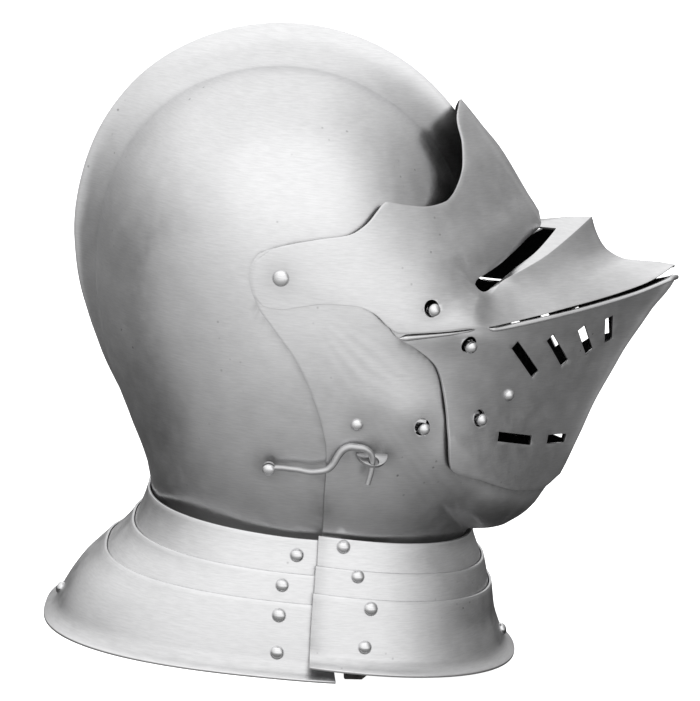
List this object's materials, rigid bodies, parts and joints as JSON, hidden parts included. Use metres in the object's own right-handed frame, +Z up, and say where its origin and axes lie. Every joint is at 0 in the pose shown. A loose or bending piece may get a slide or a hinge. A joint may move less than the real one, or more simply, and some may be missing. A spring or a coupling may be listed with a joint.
{
  "type": "close helmet",
  "caption": "Steel close helmet with a comb, a pivoted visor and beaked ventail with breath slots, a bevor and a laminated neck collar, held shut by a hook.",
  "frame": {"origin": "on the floor under the middle of the helmet, where its rim rests", "axes": "+Z up; the wearer looks along -Y, and the wearer's right side is -X"},
  "size_m": [0.2222, 0.3129, 0.318],
  "materials": {
    "plate_steel": "satin polished",
    "strap_leather": "matt"
  },
  "bodies": {
    "skull": {"skull": "plate_steel", "rear_lame_1": "plate_steel", "rear_lame_2": "plate_steel", "rear_lame_3": "plate_steel", "pivot_rivet_right": "plate_steel", "pivot_rivet_left": "plate_steel", "hook_rivet": "plate_steel", "rear_rivet_1_right": "plate_steel", "rear_rivet_1_left": "plate_steel", "rear_rivet_2_right": "plate_steel", "rear_rivet_2_left": "plate_steel", "rear_rivet_3_right": "plate_steel", "rear_rivet_3_left": "plate_steel", "rear_rivet_4_right": "plate_steel", "rear_rivet_4_left": "plate_steel", "rear_rim_rivet": "plate_steel"},
    "bevor": {"bevor": "plate_steel", "bevor_peg": "plate_steel", "bevor_leaf_rivet": "plate_steel", "eye_lug": "plate_steel", "front_lame_1": "plate_steel", "front_lame_2": "plate_steel", "front_lame_3": "plate_steel", "front_strap_right": "strap_leather", "front_strap_left": "strap_leather", "front_rivet_1_right": "plate_steel", "front_rivet_1_left": "plate_steel", "front_rivet_2_right": "plate_steel", "front_rivet_2_left": "plate_steel", "front_rivet_3_right": "plate_steel", "front_rivet_3_left": "plate_steel", "front_rivet_4_right": "plate_steel", "front_rivet_4_left": "plate_steel", "front_rim_rivet": "plate_steel"},
    "ventail": {"ventail": "plate_steel", "ventail_peg": "plate_steel", "breath_peg": "plate_steel", "breath_leaf_rivet": "plate_steel"},
    "visor": {"visor": "plate_steel", "visor_peg": "plate_steel"},
    "hook": {"hook": "plate_steel"}
  },
  "joints": [
    {"name": "bevor_open", "type": "hinge", "parent": "skull", "child": "bevor", "pos_m": [0, 0.0471, 0.2045], "axis": [-1, 0, 0], "range_deg": [0, 45]},
    {"name": "ventail_lift", "type": "hinge", "parent": "bevor", "child": "ventail", "pos_m": [0, 0.0471, 0.2045], "axis": [-1, 0, 0], "range_deg": [0, 25]},
    {"name": "visor_lift", "type": "hinge", "parent": "ventail", "child": "visor", "pos_m": [0, 0.0471, 0.2045], "axis": [-1, 0, 0], "range_deg": [0, 45]},
    {"name": "hook_swing", "type": "hinge", "parent": "skull", "child": "hook", "pos_m": [-0.094, 0.0443, 0.1063], "axis": [-0.9563, 0, -0.2924], "range_deg": [0, 100]}
  ]
}
